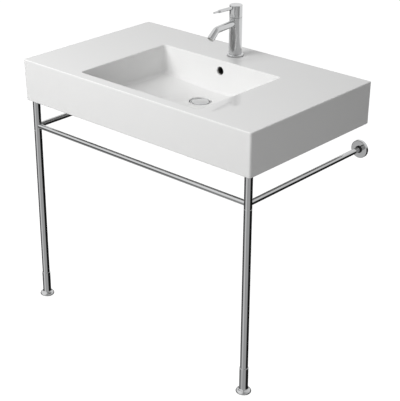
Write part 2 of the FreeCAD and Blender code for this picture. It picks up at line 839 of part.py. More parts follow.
def make_leg_lower(side):
    height = leg_seam_z - leg_tube_bottom
    inner = leg_radius - leg_wall
    chamfer = seam_chamfer
    tube = turned(
        (inner, 0), (leg_radius, 0), (leg_radius, height - chamfer), (leg_radius - chamfer, height),
        (inner, height))
    return placed(tube, side * leg_x, leg_y, leg_tube_bottom)


def make_leg_pieces(side):
    """Small pieces at the ends of one leg, by part of the node name."""
    x = side * leg_x
    inner = leg_radius - leg_wall
    pieces = {}
    pieces["leg_pad"] = ring(leg_radius, leg_peg_radius, leg_pad_thickness, x, leg_y, leg_top_z)
    pieces["leg_peg"] = cylinder(
        leg_peg_radius, leg_peg_in_leg + leg_pad_thickness + leg_peg_in_basin, x, leg_y,
        leg_top_z - leg_peg_in_leg)
    pieces["leg_bush"] = ring(
        peg_hole_radius, leg_peg_radius, leg_peg_in_basin, x, leg_y, apron_z)
    pieces["leg_coupling"] = cylinder(
        inner, coupling_depth + coupling_nose, x, leg_y, leg_seam_z - coupling_depth)
    insert = cylinder(inner, foot_nut_height, x, leg_y, leg_tube_bottom)
    pieces["foot_insert"] = insert.cut(
        cylinder(foot_stud_radius + running_gap, foot_nut_height + 2, x, leg_y, leg_tube_bottom - 1))
    return pieces


def make_foot_shell(side):
    """Turned foot: a domed flange that flares from a sleeve over the leg's end."""
    bore = leg_radius + sleeve_bore_gap
    wide = foot_flange_radius
    top = foot_sleeve_top
    sleeve = foot_sleeve_radius
    high = foot_flange_height
    chamfer = foot_sleeve_chamfer
    shell = turned(
        (foot_stud_radius, foot_pad_height), (foot_pad_radius, foot_pad_height),
        (foot_pad_radius, foot_base_lift), (foot_base_radius, foot_base_lift),
        ((wide - foot_under_rim_inset, foot_base_lift + foot_under_rim_rise), (wide, foot_rim_height)),
        ((wide - foot_dome_inset, foot_dome_height), (wide - foot_dome_width, high - foot_dome_end_drop)),
        ((sleeve + foot_neck_hollow_width, high + foot_neck_hollow_rise), (sleeve, high + foot_neck_rise)),
        (sleeve, top - chamfer), (sleeve - chamfer, top), (bore, top), (bore, foot_sleeve_floor),
        (foot_stud_radius, foot_sleeve_floor))
    return placed(shell, side * leg_x, leg_y, 0)


def make_foot_pieces(side):
    x = side * leg_x
    pieces = {"foot_shell": make_foot_shell(side)}
    pieces["foot_pad"] = cylinder(foot_pad_radius, foot_pad_height, x, leg_y, 0)
    pieces["foot_stud"] = cylinder(
        foot_stud_radius, foot_stud_top - foot_pad_height, x, leg_y, foot_pad_height)
    return pieces


def make_front_rail():
    inner = rail_radius - rail_wall
    half = leg_x - rail_end_gap
    along = Vector(1, 0, 0)
    tube = cylinder(rail_radius, 2 * half, -half, leg_y, rail_z, along)
    return tube.cut(cylinder(inner, 2 * half + 2, -half - 1, leg_y, rail_z, along))


def make_side_rail(side):
    inner = rail_radius - rail_wall
    start = leg_y + rail_end_gap
    end = wall_y - wall_plate_height
    along = Vector(0, 1, 0)
    tube = cylinder(rail_radius, end - start, side * leg_x, start, rail_z, along)
    return tube.cut(cylinder(inner, end - start + 2, side * leg_x, start - 1, rail_z, along))


def make_wall_pieces(side):
    """Fixing plate, cover and collar where a side rail meets the wall."""
    x = side * leg_x
    towards_user = Vector(0, -1, 0)
    inner = rail_radius - rail_wall
    plate = turned(
        (0, 0), (wall_plate_radius, 0), (wall_plate_radius, wall_plate_height),
        (inner, wall_plate_height), (inner, wall_plate_height + wall_spigot_length),
        (0, wall_plate_height + wall_spigot_length))
    for turn in (-1, 1):
        plate = plate.cut(cylinder(wall_screw_radius, 10, 0, turn * wall_screw_spacing / 2, -1))
    skin = cover_skin
    high = cover_height
    edge = cover_edge_radius
    corner = edge * (1 - math.sqrt(0.5))
    bore = rail_radius + running_gap
    cover = turned(
        (cover_radius - skin, 0), (cover_radius, 0), (cover_radius, high - edge),
        ((cover_radius - corner, high - corner), (cover_radius - edge, high)),
        (bore, high), (bore, high - skin), (cover_radius - skin, high - skin))
    collar = turned(
        (bore, 0), (collar_radius, 0), (collar_radius, collar_height - collar_chamfer),
        (collar_radius - collar_chamfer, collar_height), (bore, collar_height))
    pieces = {"wall_plate": placed(plate, x, wall_y, rail_z, towards_user)}
    pieces["wall_cover"] = placed(cover, x, wall_y, rail_z, towards_user)
    pieces["rail_collar"] = placed(collar, x, wall_y - cover_height, rail_z, towards_user)
    return pieces


# ---------------------------------------------------------------- all pieces
def main():
    save(make_basin(), "basin")

    gasket = ring(
        tap_ring_radius - tap_gasket_inset, tap_stub_radius, tap_gasket_thickness, 0, tap_y, rim_height)
    save(gasket, "tap_gasket")
    save(make_base_ring(), "tap_base_ring")
    save(make_tap_body(), "tap_body")
    save(make_spout(), "spout")
    save(make_aerator(), "aerator")
    save(make_cartridge_housing(), "cartridge_housing")
    nut = tap_cylinder(tap_bore_radius, cartridge_top_z, cartridge_top_z + cartridge_nut_height)
    save(nut.cut(tap_cylinder(cartridge_nut_bore, cartridge_top_z - 1, pivot_z)), "cartridge_nut")
    save(make_turn_sleeve(), "cartridge_spindle")
    save(make_pivot_pin(), "cartridge_pivot_pin")
    save(make_stem(), "lever_stem")
    save(make_handle_cap(), "handle_cap")
    save(make_lever_collar(), "lever_collar")
    save(make_lever_pin(), "lever_pin")
    for node, shape in make_tap_fixing().items():
        save(shape, node)

    save(make_waste_body(), "waste_body")
    for node, shape in make_waste_pieces().items():
        save(shape, node)

    for name, side in SIDES:
        save(make_leg_upper(side), "leg_upper_" + name)
        save(make_leg_lower(side), "leg_lower_" + name)
        save(make_side_rail(side), "side_rail_" + name)
        groups = (make_leg_pieces(side), make_foot_pieces(side), make_wall_pieces(side))
        for group in groups:
            for node, shape in group.items():
                save(shape, node + "_" + name)
    save(make_front_rail(), "front_rail")
    ends = rail_ends()
    studs = [stud_between(*end) for end in ends]
    plugs = [plug_at(*end).cut(stud) for end, stud in zip(ends, studs)]
    save(Part.makeCompound(plugs), "rail_end_plugs")
    save(Part.makeCompound(studs), "rail_studs")


main()
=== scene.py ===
import math

import bmesh
import bpy
from mathutils import Matrix, Vector


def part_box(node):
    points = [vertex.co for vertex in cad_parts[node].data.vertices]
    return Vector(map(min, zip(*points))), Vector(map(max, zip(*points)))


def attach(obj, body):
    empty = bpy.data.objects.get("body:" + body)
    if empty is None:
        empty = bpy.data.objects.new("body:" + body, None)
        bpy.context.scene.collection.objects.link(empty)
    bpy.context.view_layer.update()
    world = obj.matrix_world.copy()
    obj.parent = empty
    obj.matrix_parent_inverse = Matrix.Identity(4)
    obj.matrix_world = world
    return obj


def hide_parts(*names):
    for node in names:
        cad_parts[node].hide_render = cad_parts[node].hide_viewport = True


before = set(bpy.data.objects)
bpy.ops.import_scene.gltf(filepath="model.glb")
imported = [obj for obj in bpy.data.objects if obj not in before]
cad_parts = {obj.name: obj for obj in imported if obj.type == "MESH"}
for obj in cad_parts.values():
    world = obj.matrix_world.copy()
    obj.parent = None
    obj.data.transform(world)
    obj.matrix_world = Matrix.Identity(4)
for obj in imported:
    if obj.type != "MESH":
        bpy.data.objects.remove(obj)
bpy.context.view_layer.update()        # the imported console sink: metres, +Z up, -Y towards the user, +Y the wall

bl_info = {
    "name": "Console Sink Dressing",
    "version": (1, 0, 0),
    "blender": (4, 5, 0),
    "location": "View3D > Sidebar > Sink",
    "description": "Glaze, chrome, threads and a studio for a ceramic console sink on chrome legs",
    "category": "Object",
}

MM = 0.001

# ---------------------------------------------------------------- places read from the frame
basin_low, basin_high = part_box("basin")
apron_z = basin_low.z
wall_y = basin_high.y
plug_low, plug_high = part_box("plug_cap")
drain_y = (plug_low.y + plug_high.y) / 2
waste_low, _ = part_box("waste_body")
# The duct's box below bounds a painted shade: its inside is coloured near black in place of the dark that little
# light reaches.
duct_front_y = wall_y - 139 * MM     # the overflow hole's glazed mouth ends and its duct starts
duct_back_y = wall_y - 114 * MM      # in the ceramic behind the duct
duct_half_width = 20 * MM
duct_top_z = basin_high.z - 16 * MM
waste_barrel_radius = 20.5 * MM      # outside of the waste's threaded barrel
waste_thread_length = 47.0 * MM      # from the barrel's end up to its relief groove
thread_lead_in = 0.8 * MM            # plain end of the barrel below the thread
outlet_radius = 6.8 * MM             # bore of the ring in the spout's end
outlet_drop = math.radians(41.0)     # slope of the nozzle, down from level
outlet_inset = 2.6 * MM              # the grille's place ahead of the middle of that ring

# ---------------------------------------------------------------- fixed sizes of the details
thread_crest = (0.38, 0.62)          # start and end of a thread's flat crest, in pitches
thread_merge = 1 / 50                # points of a thread closer than this, in pitches, are one
stud_thread_sides = 28
waste_thread_sides = 72
waste_thread_share = 0.5             # the waste thread's depth against a stud's of the same pitch
thread_end_slope = 0.99              # a thread's end faces stand across the axis, by this cosine,
thread_end_corners = 8               # and have more corners than this
nut_corner_angle = 0.5               # a nut's outer edges that turn more, in radians, are bevelled
grille_hub = 0.4                     # radius of the opening in the grille's middle, in ring widths
grille_wire = 0.3 * MM
pad_top_bevel = 0.3 * MM
pad_sole_bevel = 0.5 * MM
pad_groove_depth = 0.6 * MM
pad_steps = 6                        # the pad's radius in even steps
pad_grooves = (5, 4, 3, 2)           # the steps that a groove runs along
pad_groove_half_width = 0.6 * MM
pad_groove_taper = 0.6               # width of a groove's bed against its mouth
touching = 1e-6                      # points closer than this, in metres, are one
bare_edge = (2.5 * MM, 0.6 * MM)     # the glaze gives way between these distances from a ground
bare_facing = (0.6, 0.95)            # face's plane, and these cosines to its direction
bare_roughness = 0.75


# ---------------------------------------------------------------- settings
class SinkFinish(bpy.types.PropertyGroup):
    """Colours and gloss of the glaze, the chrome and the small parts."""

    glaze_colour: bpy.props.FloatVectorProperty(
        name="Glaze", description="Colour of the glazed ceramic", subtype="COLOR",
        size=3, min=0, max=1, default=(0.875, 0.875, 0.87))
    bisque_colour: bpy.props.FloatVectorProperty(
        name="Bare clay", description="Colour of the ground, unglazed faces", subtype="COLOR",
        size=3, min=0, max=1, default=(0.72, 0.69, 0.63))
    # painted shade: a near-black colour stands in for the dark inside the closed overflow duct
    duct_painted_shade_colour: bpy.props.FloatVectorProperty(
        name="Painted duct shade", description="Painted shade colour inside the overflow duct",
        subtype="COLOR", size=3, min=0, max=1, default=(0.045, 0.043, 0.040))
    glaze_roughness: bpy.props.FloatProperty(
        name="Glaze roughness", description="Blur of what the glaze mirrors",
        min=0, max=1, default=0.025)
    glaze_ripple: bpy.props.FloatProperty(
        name="Glaze ripple", description="Depth of the slow waves in the glaze",
        subtype="DISTANCE", unit="LENGTH", min=0, max=0.002, default=0.00012)
    chrome_colour: bpy.props.FloatVectorProperty(
        name="Chrome", description="Colour that the chrome plate reflects", subtype="COLOR",
        size=3, min=0, max=1, default=(0.60, 0.605, 0.61))
    chrome_roughness: bpy.props.FloatProperty(
        name="Chrome roughness", description="Blur of what the chrome mirrors",
        min=0, max=1, default=0.045)
    brass_colour: bpy.props.FloatVectorProperty(
        name="Brass", description="Colour of the bare machined brass", subtype="COLOR",
        size=3, min=0, max=1, default=(0.70, 0.52, 0.24))
    steel_colour: bpy.props.FloatVectorProperty(
        name="Steel", description="Colour of the zinc plated steel", subtype="COLOR",
        size=3, min=0, max=1, default=(0.56, 0.57, 0.58))
    plastic_colour: bpy.props.FloatVectorProperty(
        name="Plastic", description="Colour of the moulded plastic", subtype="COLOR",
        size=3, min=0, max=1, default=(0.62, 0.62, 0.60))
    rubber_colour: bpy.props.FloatVectorProperty(
        name="Rubber", description="Colour of the seals and pads", subtype="COLOR",
        size=3, min=0, max=1, default=(0.035, 0.035, 0.036))


class SinkDetail(bpy.types.PropertyGroup):
    """Sizes of the threads, nuts and the outlet grille."""

    stud_pitch: bpy.props.FloatProperty(
        name="Stud pitch", description="Rise of one turn of the steel studs' threads",
        subtype="DISTANCE", unit="LENGTH", min=0.0005, max=0.004, default=0.0015)
    waste_pitch: bpy.props.FloatProperty(
        name="Waste pitch", description="Rise of one turn of the waste barrel's thread",
        subtype="DISTANCE", unit="LENGTH", min=0.0005, max=0.006, default=0.0023)
    thread_share: bpy.props.FloatProperty(
        name="Thread depth", description="Depth of a thread as a share of its pitch",
        subtype="FACTOR", min=0.1, max=0.8, default=0.5)
    grille_rings: bpy.props.IntProperty(
        name="Grille rings", description="Rings of openings in the outlet's grille",
        min=2, max=8, default=5)
    grille_spokes: bpy.props.IntProperty(
        name="Grille spokes", description="Spokes of the outlet's grille",
        min=6, max=48, default=24)
    nut_chamfer: bpy.props.FloatProperty(
        name="Nut chamfer", description="Width of the bevel round a nut's faces",
        subtype="DISTANCE", unit="LENGTH", min=0, max=0.003, default=0.0008)


class SinkStudio(bpy.types.PropertyGroup):
    """Camera, lamps, floor and the room that the chrome mirrors."""

    camera_place: bpy.props.FloatVectorProperty(
        name="Camera", description="Where the camera stands", subtype="TRANSLATION",
        unit="LENGTH", size=3, default=(2.0877, -2.3185, 1.834))
    camera_azimuth: bpy.props.FloatProperty(
        name="Azimuth", description="How far the camera stands round to the right",
        subtype="ANGLE", unit="ROTATION", default=math.radians(41.615))
    camera_elevation: bpy.props.FloatProperty(
        name="Elevation", description="How far the camera looks down",
        subtype="ANGLE", unit="ROTATION", default=math.radians(25.125))
    camera_roll: bpy.props.FloatProperty(
        name="Roll", description="Turn of the camera about its line of sight",
        subtype="ANGLE", unit="ROTATION", default=math.radians(0.341))
    lens: bpy.props.FloatProperty(
        name="Lens", description="Focal length on a 36 mm sensor", subtype="DISTANCE_CAMERA",
        min=20, max=300, default=104.59)
    ambient: bpy.props.FloatProperty(
        name="Room light", description="Plain light from all round", min=0, max=2, default=0.28)
    key_power: bpy.props.FloatProperty(
        name="Key lamp", description="Power of the large soft lamp at the front left",
        subtype="POWER", unit="POWER", min=0, max=500, default=64)
    fill_power: bpy.props.FloatProperty(
        name="Fill lamp", description="Power of the small soft lamp at the front right",
        subtype="POWER", unit="POWER", min=0, max=500, default=5)
    floor_tone: bpy.props.FloatProperty(
        name="Floor", description="How pale the floor is to the light that bounces from it",
        subtype="FACTOR", min=0, max=1, default=0.5)


# ---------------------------------------------------------------- node helpers
# Places of a Mix node's sockets: the two values it blends, and the result.
MIX_SOCKETS = {"RGBA": (6, 7, 2), "FLOAT": (2, 3, 0)}


def wire(tree, source, target):
    tree.links.new(source, target)


def add_node(tree, kind, **values):
    """A node with its properties set and, in inputs, fixed values or other nodes' outputs."""
    inputs = values.pop("inputs", {})
    node = tree.nodes.new(kind)
    for name, value in values.items():
        setattr(node, name, value)
    for name, value in inputs.items():
        if isinstance(value, bpy.types.NodeSocket):
            wire(tree, value, node.inputs[name])
        else:
            node.inputs[name].default_value = value
    return node


def cleared_tree(owner):
    """Node tree of a material or a world, emptied."""
    owner.use_nodes = True
    owner.node_tree.nodes.clear()
    return owner.node_tree


def calculate(tree, operation, *values, **settings):
    """Result of a Math node."""
    node = add_node(tree, "ShaderNodeMath", operation=operation, inputs=dict(enumerate(values)),
                    **settings)
    return node.outputs[0]


def mix(tree, factor, first, second, kind="RGBA"):
    """Blend of two colours, or of two numbers where kind is FLOAT."""
    first_place, second_place, result_place = MIX_SOCKETS[kind]
    node = add_node(tree, "ShaderNodeMix", data_type=kind,
                    inputs={"Factor": factor, first_place: first, second_place: second})
    return node.outputs[result_place]


def pick_shader(tree, factor, first, second):
    """The first shader where factor is 0 and the second where it is 1."""
    node = add_node(tree, "ShaderNodeMixShader", inputs={0: factor, 1: first, 2: second})
    return node.outputs[0]


def rise(tree, value, low, high, shape="SMOOTHSTEP"):
    """0 up to low, 1 from high on, and a slope between them."""
    node = add_node(tree, "ShaderNodeMapRange", interpolation_type=shape, clamp=True,
                    inputs={"Value": value, "From Min": low, "From Max": high,
                            "To Min": 0.0, "To Max": 1.0})
    return node.outputs["Result"]


def separated(tree, vector):
    """The X, Y and Z of a vector."""
    return add_node(tree, "ShaderNodeSeparateXYZ", inputs={"Vector": vector}).outputs


def place_on_object(tree):
    return add_node(tree, "ShaderNodeTexCoord").outputs["Object"]


def noise(tree, where, scale, detail, roughness):
    """Cloudy pattern from 0 to 1."""
    node = add_node(tree, "ShaderNodeTexNoise", inputs={
        "Vector": where, "Scale": scale, "Detail": detail, "Roughness": roughness})
    return node.outputs["Fac"]


def bumped(tree, height):
    """Normal of a surface raised by a height in metres."""
    bump = add_node(tree, "ShaderNodeBump",
                    inputs={"Strength": 1.0, "Distance": 1.0, "Height": height})
    return bump.outputs["Normal"]


def new_group(name, inputs, output):
    """Empty node group with inputs of (name, type, default) and one output of (name, type).

    Returns its tree, what it is given, and the socket that takes its result.
    """
    tree = bpy.data.node_groups.new(name, "ShaderNodeTree")
    for label, kind, default in inputs:
        socket = tree.interface.new_socket(name=label, in_out="INPUT", socket_type=kind)
        socket.default_value = default
    label, kind = output
    tree.interface.new_socket(name=label, in_out="OUTPUT", socket_type=kind)
    given = add_node(tree, "NodeGroupInput").outputs
    result = add_node(tree, "NodeGroupOutput").inputs[label]
    return tree, given, result


def use_group(tree, name, **inputs):
    """A node group with fixed inputs; _ in a name stands for a space."""
    node = add_node(tree, "ShaderNodeGroup", node_tree=bpy.data.node_groups[name])
    for label, value in inputs.items():
        node.inputs[label.replace("_", " ")].default_value = value
    return node


def ripple_group():
    """Slow waves and a finer grain as a bumped normal."""
    tree, given, result = new_group(
        "Surface Ripple",
        (("Wave Scale", "NodeSocketFloat", 14.0), ("Wave Height", "NodeSocketFloat", 0.0001),
         ("Grain Scale", "NodeSocketFloat", 400.0), ("Grain Height", "NodeSocketFloat", 0.0)),
        ("Normal", "NodeSocketVector"))
    where = place_on_object(tree)
    heights = []
    for layer, detail in (("Wave", 1.0), ("Grain", 3.0)):
        pattern = noise(tree, where, given[layer + " Scale"], detail=detail, roughness=0.45)
        heights.append(calculate(tree, "MULTIPLY", pattern, given[layer + " Height"]))
    wire(tree, bumped(tree, calculate(tree, "ADD", *heights)), result)


def handling_group():
    """A surface that has been wiped and touched: its roughness drifts in clouds and streaks."""
    tree, given, result = new_group(
        "Handling Marks",
        (("Base", "NodeSocketFloat", 0.1), ("Amount", "NodeSocketFloat", 0.03),
         ("Cloud Scale", "NodeSocketFloat", 9.0), ("Streak Scale", "NodeSocketFloat", 60.0)),
        ("Roughness", "NodeSocketFloat"))
    where = place_on_object(tree)
    stretch = add_node(tree, "ShaderNodeMapping",
                       inputs={"Scale": (1.0, 1.0, 0.12), "Vector": where})
    upright = stretch.outputs["Vector"]
    cloud = noise(tree, where, given["Cloud Scale"], detail=4.0, roughness=0.6)
    streak = noise(tree, upright, given["Streak Scale"], detail=5.0, roughness=0.7)
    marked = rise(tree, calculate(tree, "MULTIPLY", cloud, streak), 0.16, 0.42)
    wire(tree, calculate(tree, "MULTIPLY_ADD", marked, given["Amount"], given["Base"]), result)


def turning_group():
    """Fine rings that a lathe leaves round an upright axis, as a bumped normal."""
    tree, given, result = new_group(
        "Turning Marks",
        (("Ring Scale", "NodeSocketFloat", 900.0), ("Height", "NodeSocketFloat", 0.00001)),
        ("Normal", "NodeSocketVector"))
    rings = add_node(tree, "ShaderNodeTexWave", wave_type="BANDS", bands_direction="Z",
                     wave_profile="SIN",
                     inputs={"Vector": place_on_object(tree), "Scale": given["Ring Scale"],
                             "Distortion": 0.6, "Detail": 2.0, "Detail Scale": 1.5})
    height = calculate(tree, "MULTIPLY", rings.outputs["Fac"], given["Height"])
    wire(tree, bumped(tree, height), result)


def tone_group():
    """Colour that drifts between two tones in clouds, with fine specks of the second."""
    tree, given, result = new_group(
        "Tone Drift",
        (("First", "NodeSocketColor", (1, 1, 1, 1)),
         ("Second", "NodeSocketColor", (0.9, 0.9, 0.9, 1)),
         ("Cloud Scale", "NodeSocketFloat", 6.0), ("Speck Scale", "NodeSocketFloat", 900.0),
         ("Speck Amount", "NodeSocketFloat", 0.0)),
        ("Color", "NodeSocketColor"))
    where = place_on_object(tree)
    cloud = noise(tree, where, given["Cloud Scale"], detail=3.0, roughness=0.55)
    speck = rise(tree, noise(tree, where, given["Speck Scale"], detail=1.0, roughness=0.5),
                 0.70, 0.80, "LINEAR")
    share = calculate(tree, "MULTIPLY_ADD", speck, given["Speck Amount"], cloud, use_clamp=True)
    wire(tree, mix(tree, share, given["First"], given["Second"]), result)


def new_material(name, **shader_values):
    """Material with one Principled shader; returns its tree and the shader."""
    material = bpy.data.materials.new(name)
    tree = cleared_tree(material)
    shader = add_node(tree, "ShaderNodeBsdfPrincipled", inputs=shader_values)
    add_node(tree, "ShaderNodeOutputMaterial", inputs={"Surface": shader.outputs["BSDF"]})
    return tree, shader


def coat_shader(tree, shader, tone, marks, relief):
    """Give a shader the colour, roughness and normal of its three groups."""
    wire(tree, tone.outputs["Color"], shader.inputs["Base Color"])
    wire(tree, marks.outputs["Roughness"], shader.inputs["Roughness"])
    wire(tree, relief.outputs["Normal"], shader.inputs["Normal"])


def rgba(colour, factor=1.0):
    """Colour with full alpha, darkened by a factor."""
    return tuple(channel * factor for channel in colour) + (1.0,)


# ---------------------------------------------------------------- materials
def glaze_material(finish):
    """Thick white glaze over clay, left off the apron's ground foot, the back and the duct; inside the duct a
    near-black painted shade stands in for the dark of the closed duct.
    """
    tree, shader = new_material("Ceramic Glaze", IOR=1.58)
    tone = use_group(tree, "Tone Drift", First=rgba(finish.glaze_colour),
                     Second=rgba(finish.glaze_colour, 0.985), Cloud_Scale=5.0,
                     Speck_Scale=1500.0, Speck_Amount=0.35)
    clay = use_group(tree, "Tone Drift", First=rgba(finish.bisque_colour),
                     Second=rgba(finish.bisque_colour, 0.82), Cloud_Scale=30.0,
                     Speck_Scale=2400.0, Speck_Amount=0.8)
    marks = use_group(tree, "Handling Marks", Base=finish.glaze_roughness, Amount=0.02,
                      Cloud_Scale=6.0, Streak_Scale=22.0)
    ripple = use_group(tree, "Surface Ripple", Wave_Scale=9.0, Wave_Height=finish.glaze_ripple,
                       Grain_Scale=260.0, Grain_Height=0.0000012)
    bare = bare_clay_mask(tree)
    duct = duct_painted_shade_mask(tree)
    colour = mix(tree, bare, tone.outputs["Color"], clay.outputs["Color"])
    # painted shade: the duct's inside takes the near-black colour over the glaze and clay
    wire(tree, mix(tree, duct, colour, rgba(finish.duct_painted_shade_colour)), shader.inputs["Base Color"])
    unglazed = calculate(tree, "MAXIMUM", bare, duct)
    rough = mix(tree, unglazed, marks.outputs["Roughness"], bare_roughness, "FLOAT")
    wire(tree, rough, shader.inputs["Roughness"])
    wire(tree, ripple.outputs["Normal"], shader.inputs["Normal"])


def bare_clay_mask(tree):
    """1 on the ground rim that faces down at the apron's foot, and on the flat back."""
    where = separated(tree, place_on_object(tree))
    facing = separated(tree, add_node(tree, "ShaderNodeNewGeometry").outputs["Normal"])
    masks = []
    for axis, sign, level in (("Z", -1, -apron_z), ("Y", 1, wall_y)):
        outward = calculate(tree, "MULTIPLY", where[axis], sign)
        at_face = rise(tree, outward, level - bare_edge[0], level - bare_edge[1])
        square_on = rise(tree, calculate(tree, "MULTIPLY", facing[axis], sign), *bare_facing)
        masks.append(calculate(tree, "MULTIPLY", at_face, square_on))
    return calculate(tree, "MAXIMUM", *masks)


def duct_painted_shade_mask(tree):
    """1 inside the duct behind the overflow hole, where the near-black painted shade goes."""
    where = separated(tree, place_on_object(tree))
    inside = calculate(tree, "LESS_THAN", calculate(tree, "ABSOLUTE", where["X"]), duct_half_width)
    for axis, operation, limit in (("Y", "GREATER_THAN", duct_front_y),
                                   ("Y", "LESS_THAN", duct_back_y),
                                   ("Z", "LESS_THAN", duct_top_z)):
        within = calculate(tree, operation, where[axis], limit)
        inside = calculate(tree, "MULTIPLY", inside, within)
    return inside


def chrome_material(finish):
    """Bright plate with the faint waves of the polished metal below it and soft wiping marks."""
    tree, shader = new_material("Polished Chrome", Metallic=1.0)
    tone = use_group(tree, "Tone Drift", First=rgba(finish.chrome_colour),
                     Second=rgba(finish.chrome_colour, 0.96), Cloud_Scale=18.0,
                     Speck_Scale=2500.0, Speck_Amount=0.3)
    marks = use_group(tree, "Handling Marks", Base=finish.chrome_roughness, Amount=0.04,
                      Cloud_Scale=20.0, Streak_Scale=160.0)
    ripple = use_group(tree, "Surface Ripple", Wave_Scale=35.0, Wave_Height=0.000012,
                       Grain_Scale=1500.0, Grain_Height=0.0000002)
    coat_shader(tree, shader, tone, marks, ripple)


def machined_material(name, colour, roughness, drift):
    """Bare or plated metal as turned: lathe rings, dull patches and darker tarnish."""
    tree, shader = new_material(name, Metallic=1.0)
    tone = use_group(tree, "Tone Drift", First=rgba(colour), Second=rgba(colour, drift),
                     Cloud_Scale=70.0, Speck_Scale=1800.0, Speck_Amount=0.5)
    marks = use_group(tree, "Handling Marks", Base=roughness, Amount=0.15,
                      Cloud_Scale=60.0, Streak_Scale=300.0)
    rings = use_group(tree, "Turning Marks", Ring_Scale=700.0, Height=0.000012)
    coat_shader(tree, shader, tone, marks, rings)


def moulded_material(name, colour, roughness, grain):
    """Moulded rubber or plastic: matt, with a fine grain and a soft bloom."""
    tree, shader = new_material(name, IOR=1.5)
    tone = use_group(tree, "Tone Drift", First=rgba(colour), Second=rgba(colour, 0.85),
                     Cloud_Scale=45.0, Speck_Scale=1400.0, Speck_Amount=0.4)
    marks = use_group(tree, "Handling Marks", Base=roughness, Amount=0.12,
                      Cloud_Scale=40.0, Streak_Scale=200.0)
    ripple = use_group(tree, "Surface Ripple", Wave_Scale=60.0, Wave_Height=0.00002,
                       Grain_Scale=1800.0, Grain_Height=grain)
    coat_shader(tree, shader, tone, marks, ripple)


def finish_of(slot):
    """The material that stands for one of the record's slots."""
    return bpy.data.materials[SLOT_MATERIALS[slot]]


SLOT_MATERIALS = {
    "ceramic": "Ceramic Glaze",
    "chrome": "Polished Chrome",
    "brass": "Machined Brass",
    "steel": "Zinc Plated Steel",
    "plastic": "Moulded Plastic",
    "rubber": "Black Rubber",
}


# ---------------------------------------------------------------- mesh helpers
def finish_piece(bm, name, slot, body, replaced=(), smooth_angle=math.radians(35)):
    """Turn a bmesh into a piece at the origin that rides on a body and takes a slot's material."""
    mesh = bpy.data.meshes.new(name)
    bm.to_mesh(mesh)
    bm.free()
    mesh.polygons.foreach_set("use_smooth", [True] * len(mesh.polygons))
    mesh.set_sharp_from_angle(angle=smooth_angle)
    mesh.materials.append(finish_of(slot))
    piece = bpy.data.objects.new(name, mesh)
    bpy.context.scene.collection.objects.link(piece)
    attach(piece, body)
    if replaced:
        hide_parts(*replaced)
    return piece


def thread_mesh(radius, depth, pitch, length, segments=stud_thread_sides):
    """Closed rod along Z from 0 to length with a rounded V thread cut into it."""
    bm = bmesh.new()
    root = radius - depth
    outline = ((root, 0.0), (radius, thread_crest[0]), (radius, thread_crest[1]), (root, 1.0))
    points = [bm.verts.new((across, 0, (up - 1) * pitch)) for across, up in outline]
    edges = [bm.edges.new(pair) for pair in zip(points, points[1:])]
    turns = math.ceil(length / pitch) + 2
    bmesh.ops.spin(
        bm, geom=points + edges, cent=(0, 0, 0), axis=(0, 0, 1), dvec=(0, 0, pitch / segments),
        angle=2 * math.pi * turns, steps=segments * turns, use_merge=False)
    bmesh.ops.remove_doubles(bm, verts=bm.verts, dist=pitch * thread_merge)
    for level, side in ((0.0, -1), (length, 1)):
        bmesh.ops.bisect_plane(
            bm, geom=bm.verts[:] + bm.edges[:] + bm.faces[:], plane_co=(0, 0, level),
            plane_no=(0, 0, side), clear_outer=True)
        rim = [edge for edge in bm.edges if edge.is_boundary
               and all(abs(vert.co.z - level) < touching for vert in edge.verts)]
        bmesh.ops.holes_fill(bm, edges=rim, sides=0)
    bmesh.ops.recalc_face_normals(bm, faces=bm.faces)
    return bm


def turned_mesh(outline, segments=64):
    """Surface of revolution about Z from (radius, height) points."""
    bm = bmesh.new()
    points = [bm.verts.new((across, 0, up)) for across, up in outline]
    edges = [bm.edges.new(pair) for pair in zip(points, points[1:])]
    bmesh.ops.spin(
        bm, geom=points + edges, cent=(0, 0, 0), axis=(0, 0, 1), angle=2 * math.pi,
        steps=segments, use_merge=True)
    bmesh.ops.remove_doubles(bm, verts=bm.verts, dist=touching)
    bmesh.ops.recalc_face_normals(bm, faces=bm.faces)
    return bm


def loop_edges(verts):
    """Edges that run between the given points."""
    return [edge for edge in {e for v in verts for e in v.link_edges}
            if all(vert in verts for vert in edge.verts)]


def nut_mesh(flats, height, bore, chamfer, segments=36):
    """Hexagon nut on Z from 0 to height with bevelled outer edges round a plain bore."""
    bm = bmesh.new()
    rings = []
    for level in (0.0, height):
        place = Matrix.Translation((0, 0, level))
        outer = bmesh.ops.create_circle(
            bm, segments=6, radius=flats / math.sqrt(3), matrix=place, cap_ends=False)["verts"]
        inner = bmesh.ops.create_circle(
            bm, segments=segments, radius=bore, matrix=place, cap_ends=False)["verts"]
        bmesh.ops.bridge_loops(bm, edges=loop_edges(outer) + loop_edges(inner))
        rings.append((outer, inner))
    for low, high in zip(*rings):
        bmesh.ops.bridge_loops(bm, edges=loop_edges(low) + loop_edges(high))
    bmesh.ops.recalc_face_normals(bm, faces=bm.faces)
    corners = [vert for outer, inner in rings for vert in outer]
    sharp = [edge for edge in bm.edges if all(vert in corners for vert in edge.verts)
             and edge.calc_face_angle(0) > nut_corner_angle]
    bmesh.ops.bevel(
        bm, geom=sharp, offset=chamfer, affect="EDGES", segments=3, profile=0.5, material=-1)
    return bm


def lay(bm, place, direction=None):
    """Move a mesh modelled on Z to a place, with its Z along a direction."""
    turn = Matrix.Identity(4)
    if direction is not None:
        turn = Vector(direction).to_track_quat("Z", "Y").to_matrix().to_4x4()
    bmesh.ops.transform(bm, matrix=Matrix.Translation(place) @ turn, verts=bm.verts)
    return bm


